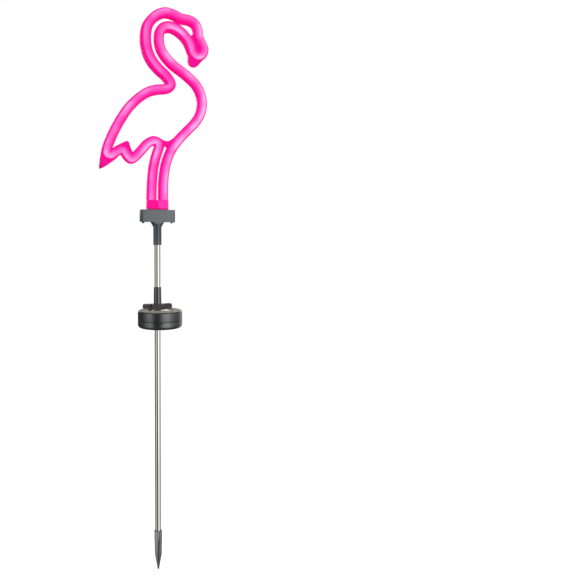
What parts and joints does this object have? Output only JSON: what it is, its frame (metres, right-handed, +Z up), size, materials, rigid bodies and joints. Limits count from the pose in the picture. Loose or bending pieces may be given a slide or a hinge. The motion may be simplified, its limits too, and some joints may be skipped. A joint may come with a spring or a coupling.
{
  "type": "solar garden light",
  "caption": "Neon-look pink flamingo outline on a grey bracket and steel pole, with a round solar drum part-way up and a pointed ground spike.",
  "frame": {"origin": "on the pole's axis at the ground line, the top shoulder of the ground spike", "axes": "+Z up along the pole, -Y towards the front with the solar panel and the tube's domed face, +X to the side that the flamingo's beak points to"},
  "size_m": [0.1431, 0.058, 0.7625],
  "materials": {
    "spike_plastic": "satin grey plastic",
    "pole_steel": "brushed stainless steel",
    "drum_plastic": "satin charcoal plastic",
    "solar_cell": "dark glossy cell under a clear cover",
    "collar_plastic": "satin black plastic",
    "bracket_plastic": "satin grey plastic",
    "screw_steel": "blackened steel",
    "deep_pink": "deep pink plastic",
    "light_pink": "milky pink translucent plastic"
  },
  "bodies": {
    "root": {"ground_spike": "spike_plastic", "lower_pole": "pole_steel", "drum_base": "drum_plastic", "drum_lid": "drum_plastic", "solar_panel": "solar_cell", "pole_collar": "collar_plastic", "upper_pole": "pole_steel", "bracket": "bracket_plastic", "bracket_screw_left": "screw_steel", "bracket_screw_right": "screw_steel", "neon_shell": "deep_pink", "neon_diffuser": "light_pink"}
  },
  "joints": []
}
